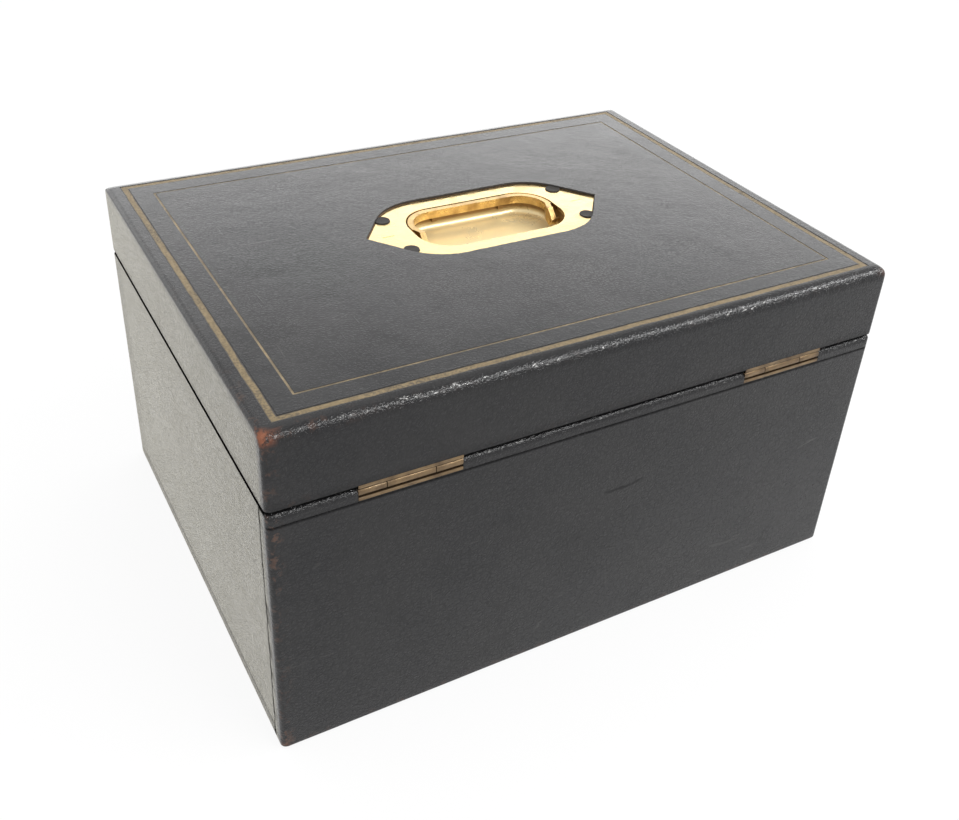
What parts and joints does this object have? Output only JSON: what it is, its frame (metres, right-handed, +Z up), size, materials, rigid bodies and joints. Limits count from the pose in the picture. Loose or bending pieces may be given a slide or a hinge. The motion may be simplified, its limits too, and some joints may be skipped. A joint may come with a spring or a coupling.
{
  "type": "jewellery box",
  "caption": "Leather-covered wooden jewellery box with a hinged lid, gilt lines, a flush brass carrying handle, a front lock and a padded lift-out tray.",
  "frame": {"origin": "middle of the underside, on the surface that the box stands on", "axes": "+Z up, +X along the box's length, the lock faces -Y and the hinges face +Y"},
  "size_m": [0.254, 0.192, 0.1385],
  "materials": {
    "black_leather": "pebbled, semi-gloss, worn at the edges",
    "carcass_wood": "bare pine and cedar boards",
    "ledge_wood": "covered with the lining cloth",
    "tray_board": "thin board covered with claret velvet",
    "underside_cloth": "plain woven cloth on card",
    "lining_silk": "claret silk on card",
    "padded_silk": "claret silk over wadding",
    "velvet": "claret velvet over wadding",
    "ribbon": "grosgrain ribbon",
    "gold_leaf": "tooled gold leaf, rubbed",
    "polished_brass": "polished, lacquer worn",
    "aged_brass": "dull, darkened by age",
    "lock_steel": "filed and oiled"
  },
  "bodies": {
    "base": {"base_front_board": "carcass_wood", "base_back_board": "carcass_wood", "base_left_board": "carcass_wood", "base_right_board": "carcass_wood", "base_bottom_board": "carcass_wood", "base_leather_cover": "black_leather", "base_underside_cover": "underside_cloth", "base_front_lining": "lining_silk", "base_back_lining": "lining_silk", "base_left_lining": "lining_silk", "base_right_lining": "lining_silk", "base_floor_pad": "padded_silk", "tray_ledge_left": "ledge_wood", "tray_ledge_right": "ledge_wood", "lock_case": "aged_brass", "lock_cap": "aged_brass", "lock_selvedge": "aged_brass", "lock_selvedge_screws": "aged_brass", "lock_nozzle": "polished_brass", "hinge_left_base_leaf": "aged_brass", "hinge_right_base_leaf": "aged_brass", "hinge_left_pin": "aged_brass", "hinge_right_pin": "aged_brass", "hinge_base_screws": "aged_brass"},
    "lid": {"lid_top_board": "carcass_wood", "lid_front_board": "carcass_wood", "lid_back_board": "carcass_wood", "lid_left_board": "carcass_wood", "lid_right_board": "carcass_wood", "lid_leather_cover": "black_leather", "gilt_line_wide": "gold_leaf", "gilt_line_fine": "gold_leaf", "handle_plate": "polished_brass", "handle_pan": "polished_brass", "handle_screws": "polished_brass", "bail_pins": "polished_brass", "link_plate": "aged_brass", "link_plate_screws": "aged_brass", "lid_front_lining": "lining_silk", "lid_back_lining": "lining_silk", "lid_left_lining": "lining_silk", "lid_right_lining": "lining_silk", "lid_pad": "padded_silk", "hinge_left_lid_leaf": "aged_brass", "hinge_right_lid_leaf": "aged_brass", "hinge_lid_screws": "aged_brass"},
    "bail": {"bail_handle": "polished_brass"},
    "lock_plug": {"lock_plug": "polished_brass", "lock_cam": "lock_steel"},
    "lock_bolt": {"lock_bolt": "lock_steel"},
    "tray": {"tray_bottom": "tray_board", "tray_front_wall": "tray_board", "tray_back_wall": "tray_board", "tray_left_wall": "tray_board", "tray_right_wall": "tray_board", "tray_cross_divider": "tray_board", "tray_long_divider": "tray_board", "ring_rolls": "velvet", "tray_pads": "velvet", "tray_lift_tabs": "ribbon"}
  },
  "joints": [
    {"name": "lid_hinge", "type": "hinge", "parent": "base", "child": "lid", "pos_m": [0, 0.0946, 0.1065], "axis": [-1, 0, 0], "range_deg": [0, 95]},
    {"name": "bail_pivot", "type": "hinge", "parent": "lid", "child": "bail", "pos_m": [-0.0054, -0.004, 0.1324], "axis": [-1, 0, 0], "range_deg": [0, 90]},
    {"name": "plug_turn", "type": "hinge", "parent": "base", "child": "lock_plug", "pos_m": [0, -0.093, 0.0904], "axis": [0, 1, 0], "range_deg": [0, 90]},
    {"name": "bolt_slide", "type": "slide", "parent": "base", "child": "lock_bolt", "axis": [1, 0, 0], "range_m": [0, 0.00424]},
    {"name": "tray_lift", "type": "slide", "parent": "base", "child": "tray", "axis": [0, 0, 1], "range_m": [0, 0.013]}
  ],
  "couplings": [
    {"joint": "plug_turn", "follows": "bolt_slide", "rad_per_m": 370.24}
  ]
}
